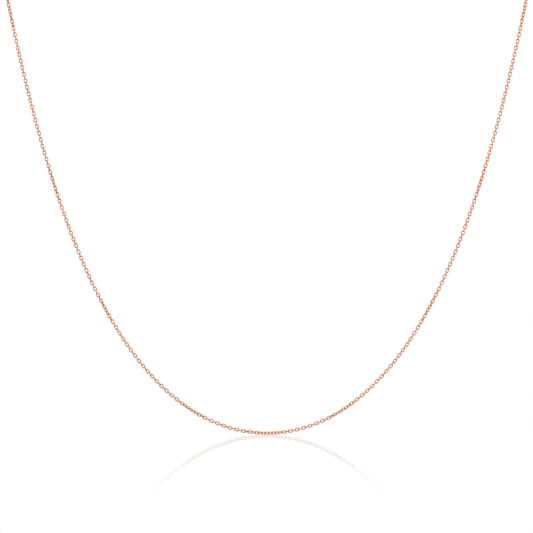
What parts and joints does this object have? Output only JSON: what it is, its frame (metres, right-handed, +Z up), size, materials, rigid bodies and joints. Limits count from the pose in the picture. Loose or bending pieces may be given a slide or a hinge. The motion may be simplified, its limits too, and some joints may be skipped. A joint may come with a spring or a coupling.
{
  "type": "chain necklace",
  "caption": "Fine oval-link cable chain necklace, hanging as worn, with a spring-ring clasp at the nape.",
  "frame": {"origin": "middle of the neck opening at shoulder height, midway between the plane of the front strand and the nape", "axes": "+Z up, +Y from the front strand back to the nape, +X to the right of the picture"},
  "size_m": [0.1402, 0.0621, 0.1459],
  "materials": {
    "link_gold": "polished",
    "clasp_gold": "polished",
    "ring_gold": "polished",
    "spring_steel": "satin"
  },
  "bodies": {
    "neck_loop": {"right_shoulder_run": "link_gold", "right_neck_run_1": "link_gold", "right_neck_run_2": "link_gold", "right_nape_run": "link_gold", "left_shoulder_run": "link_gold", "left_neck_run_1": "link_gold", "left_neck_run_2": "link_gold", "left_nape_run": "link_gold", "catch_ring": "ring_gold", "jump_ring": "ring_gold"},
    "clasp": {"clasp_ring": "clasp_gold", "clasp_spring": "spring_steel"},
    "bolt": {"clasp_bolt": "clasp_gold"},
    "drop_12": {"right_drop_12": "link_gold", "left_drop_12": "link_gold"},
    "drop_11": {"right_drop_11": "link_gold", "left_drop_11": "link_gold"},
    "drop_10": {"right_drop_10": "link_gold", "left_drop_10": "link_gold"},
    "drop_9": {"right_drop_9": "link_gold", "left_drop_9": "link_gold"},
    "drop_8": {"right_drop_8": "link_gold", "left_drop_8": "link_gold"},
    "drop_7": {"right_drop_7": "link_gold", "left_drop_7": "link_gold"},
    "drop_6": {"right_drop_6": "link_gold", "left_drop_6": "link_gold"},
    "drop_5": {"right_drop_5": "link_gold", "left_drop_5": "link_gold"},
    "drop_4": {"right_drop_4": "link_gold", "left_drop_4": "link_gold"},
    "drop_3": {"right_drop_3": "link_gold", "left_drop_3": "link_gold"},
    "drop_2": {"right_drop_2": "link_gold", "left_drop_2": "link_gold"},
    "drop_1": {"right_drop_1": "link_gold", "left_drop_1": "link_gold"},
    "lowest": {"lowest_run": "link_gold"}
  },
  "joints": [
    {"name": "drop_12_swing", "type": "hinge", "parent": "neck_loop", "child": "drop_12", "pos_m": [0, -0.03, -0.00035], "axis": [1, 0, 0], "range_deg": [-15, 15]},
    {"name": "drop_11_swing", "type": "hinge", "parent": "drop_12", "child": "drop_11", "pos_m": [0, -0.03, -0.01088], "axis": [1, 0, 0], "range_deg": [-15, 15]},
    {"name": "drop_10_swing", "type": "hinge", "parent": "drop_11", "child": "drop_10", "pos_m": [0, -0.03, -0.02136], "axis": [1, 0, 0], "range_deg": [-15, 15]},
    {"name": "drop_9_swing", "type": "hinge", "parent": "drop_10", "child": "drop_9", "pos_m": [0, -0.03, -0.03179], "axis": [1, 0, 0], "range_deg": [-15, 15]},
    {"name": "drop_8_swing", "type": "hinge", "parent": "drop_9", "child": "drop_8", "pos_m": [0, -0.03, -0.04215], "axis": [1, 0, 0], "range_deg": [-15, 15]},
    {"name": "drop_7_swing", "type": "hinge", "parent": "drop_8", "child": "drop_7", "pos_m": [0, -0.03, -0.05242], "axis": [1, 0, 0], "range_deg": [-15, 15]},
    {"name": "drop_6_swing", "type": "hinge", "parent": "drop_7", "child": "drop_6", "pos_m": [0, -0.03, -0.06256], "axis": [1, 0, 0], "range_deg": [-15, 15]},
    {"name": "drop_5_swing", "type": "hinge", "parent": "drop_6", "child": "drop_5", "pos_m": [0, -0.03, -0.07251], "axis": [1, 0, 0], "range_deg": [-15, 15]},
    {"name": "drop_4_swing", "type": "hinge", "parent": "drop_5", "child": "drop_4", "pos_m": [0, -0.03, -0.08218], "axis": [1, 0, 0], "range_deg": [-15, 15]},
    {"name": "drop_3_swing", "type": "hinge", "parent": "drop_4", "child": "drop_3", "pos_m": [0, -0.03, -0.09142], "axis": [1, 0, 0], "range_deg": [-15, 15]},
    {"name": "drop_2_swing", "type": "hinge", "parent": "drop_3", "child": "drop_2", "pos_m": [0, -0.03, -0.09997], "axis": [1, 0, 0], "range_deg": [-15, 15]},
    {"name": "drop_1_swing", "type": "hinge", "parent": "drop_2", "child": "drop_1", "pos_m": [0, -0.03, -0.10737], "axis": [1, 0, 0], "range_deg": [-15, 15]},
    {"name": "lowest_swing", "type": "hinge", "parent": "drop_1", "child": "lowest", "pos_m": [0, -0.03, -0.11291], "axis": [1, 0, 0], "range_deg": [-15, 15]},
    {"name": "clasp_swivel", "type": "hinge", "parent": "neck_loop", "child": "clasp", "pos_m": [-0.00035, 0.03, 0.026], "axis": [1, 0, 0], "range_deg": [-20, 20]},
    {"name": "bolt_slide_round", "type": "hinge", "parent": "clasp", "child": "bolt", "pos_m": [-0.00035, 0.03, 0.026], "axis": [0, 1, 0], "range_deg": [0, 62], "stiffness_Nm_per_rad": 0.002, "deforming": ["clasp_spring"]}
  ]
}
